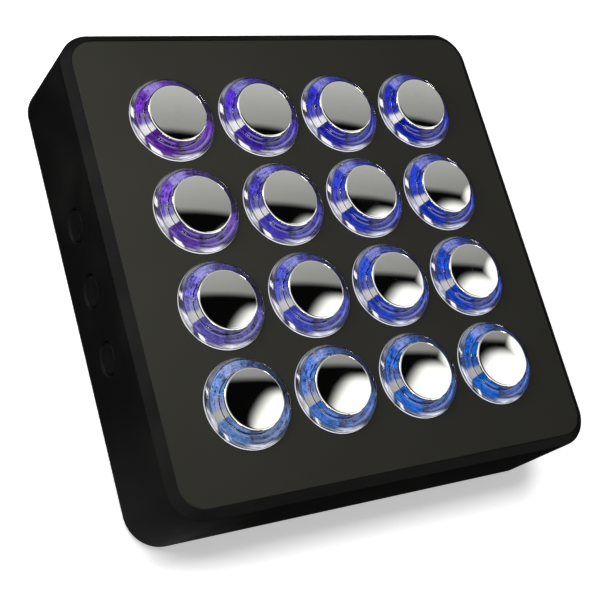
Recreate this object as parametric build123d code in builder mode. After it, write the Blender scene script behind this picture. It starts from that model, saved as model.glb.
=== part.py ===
from build123d import *
import os
from math import atan2, degrees, radians, sqrt, tan

# Desktop controller with a square grid of lit push buttons, in millimetres.
# Origin: centre of the footprint, on the surface it stands on. +Z is up, +Y is the back.

# Push buttons in the face
buttons_per_side = 4
bezel_radius = 13.8
bezel_gap = 2.4
bezel_edge = 0.5
bezel_flank = 1.3
bezel_flank_bulge = 0.28
bezel_shoulder_height = 2.4
bezel_crown = 0.35
bezel_lip = 1.9
barrel_wall = 1.4
barrel_depth = 14.4
barrel_floor = 1.4
collar_reach = 0.7
collar_depth = 2.5
plunger_gap = 0.3
cap_rise = 5.2
cap_dome = 0.36
cap_bevel_width = 0.45
cap_bevel_drop = 0.35
cap_thickness = 1.5
skirt_wall = 1.2
skirt_rest_gap = 0.2
skirt_flange = 1.3
post_radius = 2.2
nib_radius = 1.3
nib_reach = 1.0
button_travel = 2.6
press_gap = 0.3
snap_reach = 0.7
snap_height = 3.5
snap_width = 5.0
snap_gap = 0.1
snap_slot = 0.8
snap_slot_length = 6.0

# Face plate and case
face_margin = 13.5
plate_thickness = 1.2
plate_edge = 0.25
plate_gap = 0.1
panel_gap = 0.15
face_rim = 0.2
face_bevel_width = 2.65
face_bevel_drop = 2.15
case_corner_radius = 11.1
case_draft = 0.8
case_wall = 2.8
case_foot_round = 0.5
deck_thickness = 2.2
boss_radius = 4.0
boss_web = 1.6

# Base cover, its feet and its screws
cover_thickness = 2.0
cover_gap = 0.2
rabbet_wall = 1.5
foot_radius = 8.0
foot_drop = 2.0
foot_recess = 0.8
foot_inset = 25.7
foot_round = 0.8
foot_gap = 0.2
pad_radius = 3.0
pad_height = 2.0
base_screw_radius = 1.45
base_screw_length = 12.0
base_screw_head_radius = 2.9
base_screw_socket = 1.25
screw_gap = 0.05
screw_head_gap = 0.1

# Switches under the push buttons
switch_length = 19.8
switch_width = 6.4
switch_height = 10.2
switch_standoff = 5.2
switch_tab_width = 3.2
switch_tab_thickness = 0.5
switch_tab_spacing = 15.8
switch_tab_end = 0.5
switch_slot_gap = 0.2
switch_edge = 0.4
cheek_length = 16.0
cheek_thickness = 1.5
cheek_drop = 7.0
cheek_gap = 0.1
peg_spacing = 9.5
peg_drop = 5.0
peg_radius = 1.0
peg_reach = 0.8
peg_gap = 0.2

# Circuit boards and what is soldered to them
board_thickness = 1.6
board_gap = 0.6
led_board_gap = 1.8
led_board_margin = 3.0
led_board_corner = 6.0
led_hole_gap = 0.4
led_size = 3.5
led_height = 1.5
led_setback = 0.4
led_boss_radius = 2.6
led_screw_radius = 0.95
led_screw_length = 4.6
led_screw_head_radius = 2.0
led_screw_head = 1.4
led_screw_slot = 0.6
main_board_gap = 4.9
header_width = 5.0
header_length = 12.7
header_block = 8.5
header_pin = 0.64
header_pitch = 2.54
header_pins = 5
controller_size = 10.0
controller_height = 1.4
driver_length = 15.4
driver_width = 7.5
driver_height = 2.3
crystal_length = 11.4
crystal_width = 4.7
crystal_height = 3.5
regulator_length = 6.5
regulator_width = 3.5
regulator_height = 1.6

# Data socket in the back wall
socket_width = 12.0
socket_height = 10.8
socket_depth = 16.0
socket_shield = 0.4
socket_gap = 0.3
socket_set = 0.3
mouth_width = 8.45
mouth_height = 7.78
mouth_corner = 1.6
mouth_depth = 9.0
tongue_width = 5.6
tongue_height = 3.2
tongue_set = 0.8

# Side buttons, three in each side wall
side_button_count = 3
side_button_pitch = 21.0
side_button_drop = 19.2
side_cap_radius = 4.7
side_cap_gap = 0.3
side_cap_set = 0.3
side_cap_dish = 0.4
side_cap_round = 0.4
side_hole_bevel = 0.6
side_flange_reach = 1.2
side_flange = 1.0
side_flange_gap = 0.3
side_stem_radius = 1.7
side_stem_reach = 1.0
side_travel = 0.8
side_switch_size = 6.0
side_switch_depth = 3.4
side_board_margin = 7.8

# Places and sizes that follow from the values above
button_pitch = 2 * bezel_radius + bezel_gap
grid_reach = (buttons_per_side - 1) / 2 * button_pitch
barrel_radius = bezel_radius - bezel_lip
barrel_bore = barrel_radius - barrel_wall
collar_bore = barrel_bore - collar_reach
cap_radius = collar_bore - plunger_gap
shoulder_radius = bezel_radius - bezel_flank
panel_hole = barrel_radius + panel_gap

case_bottom = foot_drop
cover_top = case_bottom + cover_thickness
main_board_bottom = cover_top + pad_height
main_board_top = main_board_bottom + board_thickness
switch_bottom = main_board_top + switch_standoff
switch_top = switch_bottom + switch_height
face_z = switch_top + barrel_depth
deck_top = face_z - plate_thickness
deck_bottom = deck_top - deck_thickness
bevel_z = face_z - face_bevel_drop
led_board_top = deck_bottom - led_board_gap
led_board_bottom = led_board_top - board_thickness

lean = tan(radians(case_draft))
plate_side = 2 * (grid_reach + bezel_radius + face_margin)
recess_side = plate_side + 2 * plate_gap
bevel_side = recess_side + 2 * (face_rim + face_bevel_width)
case_side = bevel_side + 2 * lean * (bevel_z - case_bottom)
boss_spot = case_side / 2 - case_corner_radius
foot_spot = case_side / 2 - foot_inset
pad_spot = 2 * button_pitch

side_button_z = face_z - side_button_drop
side_wall_x = case_side / 2 - lean * (side_button_z - case_bottom)
side_hole = side_cap_radius + side_cap_gap
side_switch_front = case_wall + side_flange_gap + side_flange + side_travel + press_gap
side_board_front = side_switch_front + side_switch_depth
side_stem_end = side_switch_front + side_stem_reach
side_board_length = (side_button_count - 1) * side_button_pitch + 2 * side_board_margin
side_board_top = side_button_z + side_board_margin

socket_z = main_board_top + socket_height / 2
socket_front = case_side / 2 - lean * (main_board_top + socket_height - case_bottom) - socket_set

button_spots = [
    (column * button_pitch - grid_reach, grid_reach - row * button_pitch)
    for row in range(buttons_per_side)
    for column in range(buttons_per_side)
]

os.makedirs("parts", exist_ok=True)


def save(part, label):
    part.label = label
    export_step(part, f"parts/{label}.step")


def case_outline(inset):
    """The case's outline at its bottom edge, moved in all round by the inset."""
    RectangleRounded(case_side - 2 * inset, case_side - 2 * inset, case_corner_radius - inset)


def face_outline(side):
    """A square in the face whose corners share their centres with the case's corners."""
    RectangleRounded(side, side, case_corner_radius - (case_side - side) / 2)


def side_plane(side, depth):
    """Plane facing out of the left (-1) or right (1) wall, at the side buttons' height."""
    origin = (side * (side_wall_x - depth), 0, side_button_z)
    return Plane(origin=origin, x_dir=(0, 1, 0), z_dir=(side, 0, 0))


# Case: leaning walls, a bevel round the face, the deck that carries plate and buttons
with BuildPart() as case_body:
    with BuildSketch(Plane.XY.offset(case_bottom)):
        case_outline(0)
    extrude(amount=bevel_z - case_bottom, taper=case_draft)
    with BuildSketch(Plane.XY.offset(bevel_z)):
        face_outline(bevel_side)
    extrude(amount=face_bevel_drop, taper=degrees(atan2(face_bevel_width, face_bevel_drop)))
    fillet(case_body.edges().group_by(Axis.Z)[0], radius=case_foot_round)

    # The hollow, leaning with the walls, and the rabbet that takes the base cover
    with BuildSketch(Plane.XY.offset(case_bottom)):
        case_outline(case_wall)
    extrude(amount=deck_bottom - case_bottom, taper=case_draft, mode=Mode.SUBTRACT)
    with BuildSketch(Plane.XY.offset(case_bottom)):
        case_outline(rabbet_wall)
    extrude(amount=cover_thickness, mode=Mode.SUBTRACT)

    # Corner bosses for the base screws, each tied to its corner by a web
    with BuildSketch(Plane.XY.offset(cover_top)):
        with GridLocations(2 * boss_spot, 2 * boss_spot, 2, 2):
            Circle(boss_radius)
        for corner in range(4):
            web_length = case_corner_radius - case_wall / 2
            with Locations(Location((0, 0), 45 + 90 * corner)):
                with Locations((sqrt(2) * boss_spot + web_length / 2, 0)):
                    Rectangle(web_length, boss_web)
    extrude(amount=deck_bottom - cover_top)
    with BuildSketch(Plane.XY.offset(cover_top)):
        with GridLocations(2 * boss_spot, 2 * boss_spot, 2, 2):
            Circle(base_screw_radius + screw_gap)
    extrude(amount=base_screw_length, mode=Mode.SUBTRACT)

    # Low bosses under the deck for the light board
    with BuildSketch(Plane.XY.offset(led_board_top)):
        with GridLocations(pad_spot, pad_spot, 2, 2):
            Circle(led_boss_radius)
    extrude(amount=led_board_gap)
    with BuildSketch(Plane.XY.offset(led_board_top)):
        with GridLocations(pad_spot, pad_spot, 2, 2):
            Circle(led_screw_radius + screw_gap)
    extrude(amount=led_screw_length - board_thickness + press_gap, mode=Mode.SUBTRACT)

    # Recess for the face plate and the button holes through the deck
    with BuildSketch(Plane.XY.offset(deck_top)):
        face_outline(recess_side)
    extrude(amount=plate_thickness, mode=Mode.SUBTRACT)
    with BuildSketch(Plane.XY.offset(deck_top)):
        with Locations(*button_spots):
            Circle(panel_hole)
    extrude(amount=-deck_thickness, mode=Mode.SUBTRACT)

    # Bevelled holes for the side buttons, then the opening for the data socket
    for side in (-1, 1):
        with Locations(side_plane(side, 0)):
            with GridLocations(side_button_pitch, 1, side_button_count, 1):
                CounterSinkHole(
                    side_hole,
                    side_hole + side_hole_bevel,
                    depth=2 * case_wall,
                    counter_sink_angle=90,
                )
    with BuildSketch(Plane.XZ.offset(-case_side / 2)):
        with Locations((0, socket_z)):
            Rectangle(socket_width + 2 * socket_gap, socket_height + 2 * socket_gap)
    extrude(amount=2 * case_wall, mode=Mode.SUBTRACT)
save(case_body.part, "case_body")

# Face plate: flat painted sheet bonded into the recess, with a hole for each button
with BuildPart() as face_plate:
    with BuildSketch(Plane.XY.offset(deck_top)):
        face_outline(plate_side)
        with Locations(*button_spots):
            Circle(panel_hole, mode=Mode.SUBTRACT)
    extrude(amount=plate_thickness)
    rim = face_plate.faces().sort_by(Axis.Z)[-1].outer_wire().edges()
    chamfer(rim, length=plate_edge)
save(face_plate.part, "face_plate")

# Base cover: flush in the rabbet, with foot recesses and pads that carry the main board
with BuildPart() as base_cover:
    with BuildSketch(Plane.XY.offset(case_bottom)):
        case_outline(rabbet_wall + cover_gap)
    extrude(amount=cover_thickness)
    with BuildSketch(Plane.XY.offset(cover_top)):
        with GridLocations(pad_spot, pad_spot, 2, 2):
            Circle(pad_radius)
    extrude(amount=pad_height)
    with BuildSketch(Plane.XY.offset(case_bottom)):
        with GridLocations(2 * foot_spot, 2 * foot_spot, 2, 2):
            Circle(foot_radius + foot_gap)
    extrude(amount=foot_recess, mode=Mode.SUBTRACT)
    with Locations(Plane(origin=(0, 0, case_bottom), z_dir=(0, 0, -1))):
        with GridLocations(2 * boss_spot, 2 * boss_spot, 2, 2):
            CounterSinkHole(
                base_screw_radius + screw_head_gap,
                base_screw_head_radius + screw_head_gap,
                depth=cover_thickness,
                counter_sink_angle=90,
            )
save(base_cover.part, "base_cover")

# Rubber feet, stuck into the recesses of the base cover
with BuildPart() as rubber_feet:
    with BuildSketch(Plane.XY):
        with GridLocations(2 * foot_spot, 2 * foot_spot, 2, 2):
            Circle(foot_radius)
    extrude(amount=foot_drop + foot_recess)
    fillet(rubber_feet.edges().group_by(Axis.Z)[0], radius=foot_round)
save(rubber_feet.part, "rubber_feet")

# Countersunk screws that hold the base cover to the corner bosses
with BuildPart() as base_screws:
    with BuildSketch(Plane.XZ) as screw_profile:
        with BuildLine():
            Polyline(
                (0, case_bottom),
                (base_screw_head_radius, case_bottom),
                (base_screw_radius, case_bottom + base_screw_head_radius - base_screw_radius),
                (base_screw_radius, case_bottom + base_screw_length),
                (0, case_bottom + base_screw_length),
                close=True,
            )
        make_face()
    revolve(axis=Axis.Z)
    with BuildSketch(Plane.XY.offset(case_bottom)):
        RegularPolygon(base_screw_socket, 6)
    extrude(amount=base_screw_head_radius - base_screw_radius, mode=Mode.SUBTRACT)
base_screw_set = Compound(
    [Pos(x, y) * base_screws.part for x in (-boss_spot, boss_spot) for y in (-boss_spot, boss_spot)]
)
save(base_screw_set, "base_screws")

# Light board: hangs under the deck, with a clear hole round each button barrel
led_hole = barrel_radius + snap_reach + led_hole_gap
led_board_side = 2 * (grid_reach + led_hole + led_board_margin)
with BuildPart() as led_board:
    with BuildSketch(Plane.XY.offset(led_board_bottom)):
        RectangleRounded(led_board_side, led_board_side, led_board_corner)
        with Locations(*button_spots):
            Circle(led_hole, mode=Mode.SUBTRACT)
        with GridLocations(pad_spot, pad_spot, 2, 2):
            Circle(led_screw_radius + screw_head_gap, mode=Mode.SUBTRACT)
    extrude(amount=board_thickness)
save(led_board.part, "led_board")

# Coloured lights, four round each button, facing its clear barrel
with BuildPart() as ring_leds:
    with BuildSketch(Plane.XY.offset(led_board_top)):
        with Locations(*button_spots):
            with PolarLocations(led_hole + led_setback + led_size / 2, 4, start_angle=45):
                Rectangle(led_size, led_size)
    extrude(amount=led_height)
save(ring_leds.part, "ring_leds")

# Screws that hold the light board up to its bosses
with BuildPart() as led_board_screws:
    with BuildSketch(Plane.XY.offset(led_board_bottom)):
        with GridLocations(pad_spot, pad_spot, 2, 2):
            Circle(led_screw_radius)
    extrude(amount=led_screw_length)
    with BuildSketch(Plane.XY.offset(led_board_bottom)):
        with GridLocations(pad_spot, pad_spot, 2, 2):
            Circle(led_screw_head_radius)
    extrude(amount=-led_screw_head)
    with BuildSketch(Plane.XY.offset(led_board_bottom - led_screw_head)):
        with GridLocations(pad_spot, pad_spot, 2, 2):
            Rectangle(2 * led_screw_head_radius, led_screw_slot)
    extrude(amount=led_screw_head / 2, mode=Mode.SUBTRACT)
save(led_board_screws.part, "led_board_screws")

# Main board: on the pads of the base cover, slotted for the switch tabs
main_board_side = case_side - 2 * (case_wall + main_board_gap)
corner_notch = main_board_side / 2 - (boss_spot - boss_radius - board_gap)
with BuildPart() as main_board:
    with BuildSketch(Plane.XY.offset(main_board_bottom)):
        Rectangle(main_board_side, main_board_side)
        with GridLocations(main_board_side, main_board_side, 2, 2):
            Rectangle(2 * corner_notch, 2 * corner_notch, mode=Mode.SUBTRACT)
        with Locations(*button_spots):
            with GridLocations(switch_tab_spacing, 1, 2, 1):
                Rectangle(
                    switch_tab_width + 2 * switch_slot_gap,
                    switch_tab_thickness + 2 * switch_slot_gap,
                    mode=Mode.SUBTRACT,
                )
    extrude(amount=board_thickness)
save(main_board.part, "main_board")

# Controller chip, two light drivers, crystal and regulator on the main board
with BuildPart() as board_chips:
    with BuildSketch(Plane.XY.offset(main_board_top)):
        with Locations((0, button_pitch)):
            Rectangle(controller_size, controller_size)
    extrude(amount=controller_height)
    with BuildSketch(Plane.XY.offset(main_board_top)):
        with Locations((-button_pitch, 0), (button_pitch, 0)):
            Rectangle(driver_width, driver_length)
    extrude(amount=driver_height)
    with BuildSketch(Plane.XY.offset(main_board_top)):
        with Locations((button_pitch / 2, button_pitch)):
            SlotOverall(crystal_length, crystal_width)
    extrude(amount=crystal_height)
    with BuildSketch(Plane.XY.offset(main_board_top)):
        with Locations((-button_pitch / 2, button_pitch)):
            Rectangle(regulator_length, regulator_width)
    extrude(amount=regulator_height)
save(board_chips.part, "board_chips")

# Pin header that joins the light board to the main board
with BuildPart() as board_header:
    with BuildSketch(Plane.XY.offset(main_board_top)):
        Rectangle(header_width, header_length)
    extrude(amount=header_block)
    with BuildSketch(Plane.XY.offset(led_board_bottom)):
        Rectangle(header_width, header_length)
    extrude(amount=-header_block)
    with BuildSketch(Plane.XY.offset(main_board_top)):
        with GridLocations(header_pitch, header_pitch, 2, header_pins):
            Rectangle(header_pin, header_pin)
    extrude(amount=led_board_bottom - main_board_top)
save(board_header.part, "board_header")


# The square data plug's outline, with its two upper corners cut off
with BuildSketch() as socket_mouth:
    with BuildLine():
        half = mouth_width / 2
        top = mouth_height / 2
        Polyline(
            (-half, -top),
            (half, -top),
            (half, top - mouth_corner),
            (half - mouth_corner, top),
            (mouth_corner - half, top),
            (-half, top - mouth_corner),
            close=True,
        )
    make_face()
socket_face = Plane(origin=(0, socket_front, socket_z), x_dir=(1, 0, 0), z_dir=(0, -1, 0))

# Metal shield of the data socket, open at its mouth and at the back
with BuildPart() as socket_shield_shell:
    with BuildSketch(Plane.XZ.offset(-socket_front)):
        with Locations((0, socket_z)):
            Rectangle(socket_width, socket_height)
    extrude(amount=socket_depth)
    with BuildSketch(Plane.XZ.offset(socket_shield - socket_front)):
        with Locations((0, socket_z)):
            Rectangle(socket_width - 2 * socket_shield, socket_height - 2 * socket_shield)
    extrude(amount=socket_depth, mode=Mode.SUBTRACT)
    with BuildSketch(socket_face):
        add(socket_mouth.sketch)
    extrude(amount=socket_shield, mode=Mode.SUBTRACT)
save(socket_shield_shell.part, "data_socket_shield")

# Plastic body inside the shield, with the contact tongue standing in its mouth
with BuildPart() as socket_insulator:
    with BuildSketch(Plane.XZ.offset(socket_shield - socket_front)):
        with Locations((0, socket_z)):
            Rectangle(socket_width - 2 * socket_shield, socket_height - 2 * socket_shield)
    extrude(amount=socket_depth - socket_shield)
    with BuildSketch(socket_face):
        add(socket_mouth.sketch)
    extrude(amount=mouth_depth, mode=Mode.SUBTRACT)
    with BuildSketch(Plane.XZ.offset(tongue_set - socket_front)):
        with Locations((0, socket_z)):
            Rectangle(tongue_width, tongue_height)
    extrude(amount=mouth_depth - tongue_set)
save(socket_insulator.part, "data_socket_insulator")

# Side boards, standing on the main board behind the side buttons
for side, side_name in ((-1, "left"), (1, "right")):
    with BuildPart() as side_board:
        with BuildSketch(side_plane(side, side_board_front)):
            with Locations((0, (side_board_top + main_board_top) / 2 - side_button_z)):
                Rectangle(side_board_length, side_board_top - main_board_top)
        extrude(amount=-board_thickness)
    save(side_board.part, f"{side_name}_side_board")

# Small square switches on the side boards, each with a well for a button stem
with BuildPart() as side_switches:
    for side in (-1, 1):
        with BuildSketch(side_plane(side, side_board_front)):
            with GridLocations(side_button_pitch, 1, side_button_count, 1):
                Rectangle(side_switch_size, side_switch_size)
        extrude(amount=side_switch_depth)
        with BuildSketch(side_plane(side, side_switch_front)):
            with GridLocations(side_button_pitch, 1, side_button_count, 1):
                Circle(side_stem_radius + plunger_gap)
        extrude(amount=-(side_stem_reach + side_travel + press_gap), mode=Mode.SUBTRACT)
save(side_switches.part, "side_switches")

# Side button: dished cap, flange that stops it behind the wall, stem into its switch.
# It is drawn on its own axis, with the wall's outside at zero and the inside below.
side_cap_top = -side_cap_set
side_flange_top = -(case_wall + side_flange_gap)
with BuildPart() as side_button:
    with BuildSketch(Plane.XZ):
        with BuildLine():
            dish_edge = side_cap_radius - side_cap_round
            dish = TangentArc((0, side_cap_top - side_cap_dish), (dish_edge, side_cap_top), tangent=(1, 0))
            rim_arc = RadiusArc(dish @ 1, (side_cap_radius, side_cap_top - side_cap_round), side_cap_round)
            Polyline(
                rim_arc @ 1,
                (side_cap_radius, side_flange_top),
                (side_hole + side_flange_reach, side_flange_top),
                (side_hole + side_flange_reach, side_flange_top - side_flange),
                (side_stem_radius, side_flange_top - side_flange),
                (side_stem_radius, -side_stem_end),
                (0, -side_stem_end),
                dish @ 0,
            )
        make_face()
    revolve(axis=Axis.Z)
for side, side_name in ((-1, "left"), (1, "right")):
    for number in range(side_button_count):
        along = ((side_button_count - 1) / 2 - number) * side_button_pitch
        placed = side_plane(side, 0).location * Pos(along, 0) * side_button.part
        save(placed, f"side_button_{side_name}_{number + 1}")

# Button switch: drawn under its button at the origin, with a well for the plunger's nib,
# two holes for the housing's pegs and two solder tabs through the main board
with BuildPart() as button_switch:
    with BuildSketch(Plane.XY.offset(switch_bottom)):
        Rectangle(switch_length, switch_width)
    extrude(amount=switch_height)
    chamfer(button_switch.edges().filter_by(Axis.Z), length=switch_edge)
    with BuildSketch(Plane.XY.offset(switch_top)):
        Circle(nib_radius + plunger_gap)
    extrude(amount=-(nib_reach + button_travel + press_gap), mode=Mode.SUBTRACT)
    with BuildSketch(Plane.XZ):
        with Locations((0, switch_top - peg_drop)):
            with GridLocations(peg_spacing, 1, 2, 1):
                Circle(peg_radius + peg_gap)
    extrude(amount=switch_width, both=True, mode=Mode.SUBTRACT)
    with BuildSketch(Plane.XY.offset(switch_bottom)):
        with GridLocations(switch_tab_spacing, 1, 2, 1):
            Rectangle(switch_tab_width, switch_tab_thickness)
    extrude(amount=-(switch_standoff + board_thickness + switch_tab_end))
for row in range(buttons_per_side):
    row_spots = button_spots[row * buttons_per_side:(row + 1) * buttons_per_side]
    row_switches = Compound([Pos(x, y) * button_switch.part for x, y in row_spots])
    save(row_switches, f"button_switches_row_{row + 1}")

# Button housing: clear bezel, barrel through the face, snap tongues and switch cheeks.
# This profile is the moulding that the lights shine through.
with BuildPart() as button_housing:
    with BuildSketch(Plane.XZ):
        with BuildLine():
            shoulder = (shoulder_radius, face_z + bezel_shoulder_height)
            bore_edge = (collar_bore, face_z + bezel_shoulder_height)
            flank = SagittaArc((bezel_radius, face_z + bezel_edge), shoulder, bezel_flank_bulge)
            crown = SagittaArc(shoulder, bore_edge, bezel_crown)
            Polyline(
                crown @ 1,
                (collar_bore, face_z - collar_depth),
                (barrel_bore, face_z - collar_depth),
                (barrel_bore, switch_top + barrel_floor),
                (post_radius + 2 * plunger_gap, switch_top + barrel_floor),
                (post_radius + 2 * plunger_gap, switch_top),
                (barrel_radius, switch_top),
                (barrel_radius, face_z),
                (bezel_radius, face_z),
                flank @ 0,
            )
        make_face()
    revolve(axis=Axis.Z)

    # Two snap tongues: slots free them from the barrel, wedges catch under the deck
    snap_top = deck_bottom - snap_gap
    with BuildSketch(Plane.XZ):
        for mirrored in (-1, 1):
            with BuildLine():
                Polyline(
                    (mirrored * (barrel_radius - barrel_wall / 2), snap_top),
                    (mirrored * (barrel_radius + snap_reach), snap_top),
                    (mirrored * (barrel_radius - barrel_wall / 2), snap_top - snap_height),
                    close=True,
                )
            make_face()
    extrude(amount=snap_width / 2, both=True)
    with BuildSketch(Plane.YZ):
        with Locations((0, snap_top - snap_slot_length / 2)):
            with GridLocations(snap_width + snap_slot, 1, 2, 1):
                Rectangle(snap_slot, snap_slot_length)
    extrude(amount=barrel_radius, both=True, mode=Mode.SUBTRACT)

    # Cheeks on both sides of the switch, with the pegs that hold it
    with BuildSketch(Plane.XY.offset(switch_top)):
        with GridLocations(1, switch_width + 2 * cheek_gap + cheek_thickness, 1, 2):
            Rectangle(cheek_length, cheek_thickness)
    extrude(amount=-cheek_drop)
    for facing in (-1, 1):
        cheek_face = switch_width / 2 + cheek_gap
        with BuildSketch(Plane.XZ.offset(facing * cheek_face)):
            with Locations((0, switch_top - peg_drop)):
                with GridLocations(peg_spacing, 1, 2, 1):
                    Circle(peg_radius)
        extrude(amount=-facing * peg_reach)

# Plunger: mirror cap with a bevelled rim, hollow skirt, stop flange and post with its nib
skirt_flange_top = face_z - collar_depth - skirt_rest_gap
with BuildPart() as button_plunger:
    with BuildSketch(Plane.XZ):
        with BuildLine():
            rim_radius = cap_radius - cap_bevel_width
            cap_edge = face_z + cap_rise
            flange_radius = barrel_bore - plunger_gap
            skirt_bore = cap_radius - skirt_wall
            dome = TangentArc((0, cap_edge + cap_dome), (rim_radius, cap_edge), tangent=(1, 0))
            Polyline(
                dome @ 1,
                (cap_radius, cap_edge - cap_bevel_drop),
                (cap_radius, skirt_flange_top),
                (flange_radius, skirt_flange_top),
                (flange_radius, skirt_flange_top - skirt_flange),
                (skirt_bore, skirt_flange_top - skirt_flange),
                (skirt_bore, cap_edge - cap_thickness),
                (post_radius, cap_edge - cap_thickness),
                (post_radius, switch_top + button_travel + press_gap),
                (nib_radius, switch_top + button_travel + press_gap),
                (nib_radius, switch_top - nib_reach),
                (0, switch_top - nib_reach),
                dome @ 0,
            )
        make_face()
    revolve(axis=Axis.Z)

for number, (x, y) in enumerate(button_spots, start=1):
    save(Pos(x, y) * button_housing.part, f"button_housing_{number}")
    save(Pos(x, y) * button_plunger.part, f"button_plunger_{number}")

print(f"case {case_side:.2f} square, face {face_z:.2f} above the surface")
print(f"plate {plate_side:.2f} square, buttons {button_pitch:.2f} apart")
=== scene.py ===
import bmesh
import bpy
import numpy as np
from math import cos, radians, sin, tan
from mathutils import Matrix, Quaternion, Vector


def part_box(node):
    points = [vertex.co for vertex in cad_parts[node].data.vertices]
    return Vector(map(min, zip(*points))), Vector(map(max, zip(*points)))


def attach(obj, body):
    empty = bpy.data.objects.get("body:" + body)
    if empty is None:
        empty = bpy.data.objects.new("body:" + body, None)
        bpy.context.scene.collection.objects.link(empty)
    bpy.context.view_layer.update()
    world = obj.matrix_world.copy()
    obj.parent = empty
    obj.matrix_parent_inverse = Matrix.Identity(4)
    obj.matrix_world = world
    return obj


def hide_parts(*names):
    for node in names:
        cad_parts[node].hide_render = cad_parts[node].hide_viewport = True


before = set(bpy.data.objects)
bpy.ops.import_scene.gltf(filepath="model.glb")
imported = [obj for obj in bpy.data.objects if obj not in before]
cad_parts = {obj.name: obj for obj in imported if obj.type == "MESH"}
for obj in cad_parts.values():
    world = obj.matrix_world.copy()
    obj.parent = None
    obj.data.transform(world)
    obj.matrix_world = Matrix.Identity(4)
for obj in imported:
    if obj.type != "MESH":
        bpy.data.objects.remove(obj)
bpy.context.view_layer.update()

# Base cover: the flat lid under the case, with recesses for the feet and pads for the main board.
# Injection-moulded black plastic with a fine spark-eroded grain, let into a rabbet in the case.
mm = 0.001
smudge_scale = 42.0
grain_scale = 2600.0
cover_black = (0.0060, 0.0060, 0.0059, 1.0)
cover_worn = (0.0100, 0.0100, 0.0097, 1.0)


class Wire:
    """One output socket in a node tree. Arithmetic on it adds Math nodes."""

    def __init__(self, finish, socket):
        self.finish = finish
        self.socket = socket

    def maths(self, operation, *others):
        sockets = dict(enumerate((self, *others)))
        return self.finish.node("ShaderNodeMath", {"operation": operation}, sockets)

    def __add__(self, other):
        return self.maths("ADD", other)

    def __sub__(self, other):
        return self.maths("SUBTRACT", other)

    def __rsub__(self, other):
        return self.finish.node("ShaderNodeMath", {"operation": "SUBTRACT"}, {0: other, 1: self})

    def __mul__(self, other):
        return self.maths("MULTIPLY", other)

    def __truediv__(self, other):
        return self.maths("DIVIDE", other)

    __radd__ = __add__

    def above(self, other):
        return self.maths("MAXIMUM", other)

    def below(self, other):
        return self.maths("MINIMUM", other)


class Finish:
    """A material, or else a world, being mixed. Every node in it comes from node()."""

    def __init__(self, name, world=None):
        self.owner = world or bpy.data.materials.new(name)
        self.owner.use_nodes = True
        self.tree = self.owner.node_tree
        self.tree.nodes.clear()

    def node(self, kind, settings=None, sockets=None, output=0):
        """Adds a node: its settings, where stops fill a colour ramp, then its sockets' values or links."""
        made = self.tree.nodes.new(kind)
        for name, value in (settings or {}).items():
            if name == "stops":
                ramp = made.color_ramp.elements
                ramp[0].position, ramp[1].position = value[0][0], value[-1][0]
                for place, colour in value[1:-1]:
                    ramp.new(place)
                for element, (place, colour) in zip(ramp, value):
                    element.color = colour
            else:
                setattr(made, name, value)
        for key, value in (sockets or {}).items():
            if isinstance(value, Wire):
                self.tree.links.new(value.socket, made.inputs[key])
            else:
                made.inputs[key].default_value = value
        return Wire(self, made.outputs[output]) if made.outputs else None

    def place(self, source="Object"):
        return self.node("ShaderNodeTexCoord", output=source)

    def axes(self, vector):
        """The three parts of a vector, each as a value."""
        parts = self.node("ShaderNodeSeparateXYZ", sockets={0: vector})
        outputs = parts.socket.node.outputs
        return [Wire(self, outputs[axis]) for axis in "XYZ"]

    def noise(self, scale, detail=3.0, rough=0.55, where=None):
        sockets = {"Vector": where or self.place(), "Scale": scale, "Detail": detail, "Roughness": rough}
        return self.node("ShaderNodeTexNoise", sockets=sockets)

    def ease(self, value, low, high):
        """0 below low, 1 above high, and a smooth rise between them."""
        settings = {"interpolation_type": "SMOOTHSTEP"}
        return self.node("ShaderNodeMapRange", settings, {"Value": value, "From Min": low, "From Max": high})

    def blend(self, share, first, second):
        """A colour between two colours."""
        return self.node("ShaderNodeMix", {"data_type": "RGBA"}, {0: share, 6: first, 7: second}, 2)

    def bump(self, height, strength, depth):
        """A normal that follows a height pattern, whose full range is the depth in metres."""
        sockets = {"Height": height, "Strength": strength, "Distance": depth}
        return self.node("ShaderNodeBump", sockets=sockets)

    def surface(self, **sockets):
        """Closes the material with one Principled surface."""
        named = {key.replace("_", " ").replace("Ior", "IOR"): value for key, value in sockets.items()}
        shader = self.node("ShaderNodeBsdfPrincipled", sockets=named)
        self.node("ShaderNodeOutputMaterial", sockets={"Surface": shader})
        return self.owner


def moulded_plastic(name, tone, worn, gloss, grain, specular):
    """Moulded plastic: faint cloudy smudges, a fine grain and a gloss that varies with both."""
    mix = Finish(name)
    clouds = mix.noise(smudge_scale, detail=4.0, rough=0.6)
    smudge = mix.ease(clouds, 0.42, 0.72)
    fine = mix.noise(grain_scale, detail=2.0, rough=0.5)
    return mix.surface(
        Base_Color=mix.blend(smudge, tone, worn),
        Roughness=gloss + smudge * 0.12 + fine * 0.06,
        Specular_Ior_Level=specular,
        Normal=mix.bump(fine, strength=grain, depth=0.02 * mm),
    )


def dress(node, material):
    """Gives a piece that stays as it was built its finish."""
    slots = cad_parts[node].data.materials
    slots.clear()
    slots.append(material)


cover_finish = moulded_plastic("cover_plastic", cover_black, cover_worn, gloss=0.5, grain=0.5, specular=0.15)
dress("base_cover", cover_finish)

# Rubber feet: four round pads stuck into the recesses of the cover, which keep it off the table.
# Moulded black rubber, with a softly rounded sole and a dull, slightly dusty surface.
foot_sole_round = 0.8 * mm
foot_top_round = 0.15 * mm
foot_steps = 72
rubber_black = (0.014, 0.014, 0.014, 1.0)
rubber_dust = (0.036, 0.035, 0.033, 1.0)
weld = 0.001 * mm
edge_angle = radians(32)
scene = bpy.context.scene


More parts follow.
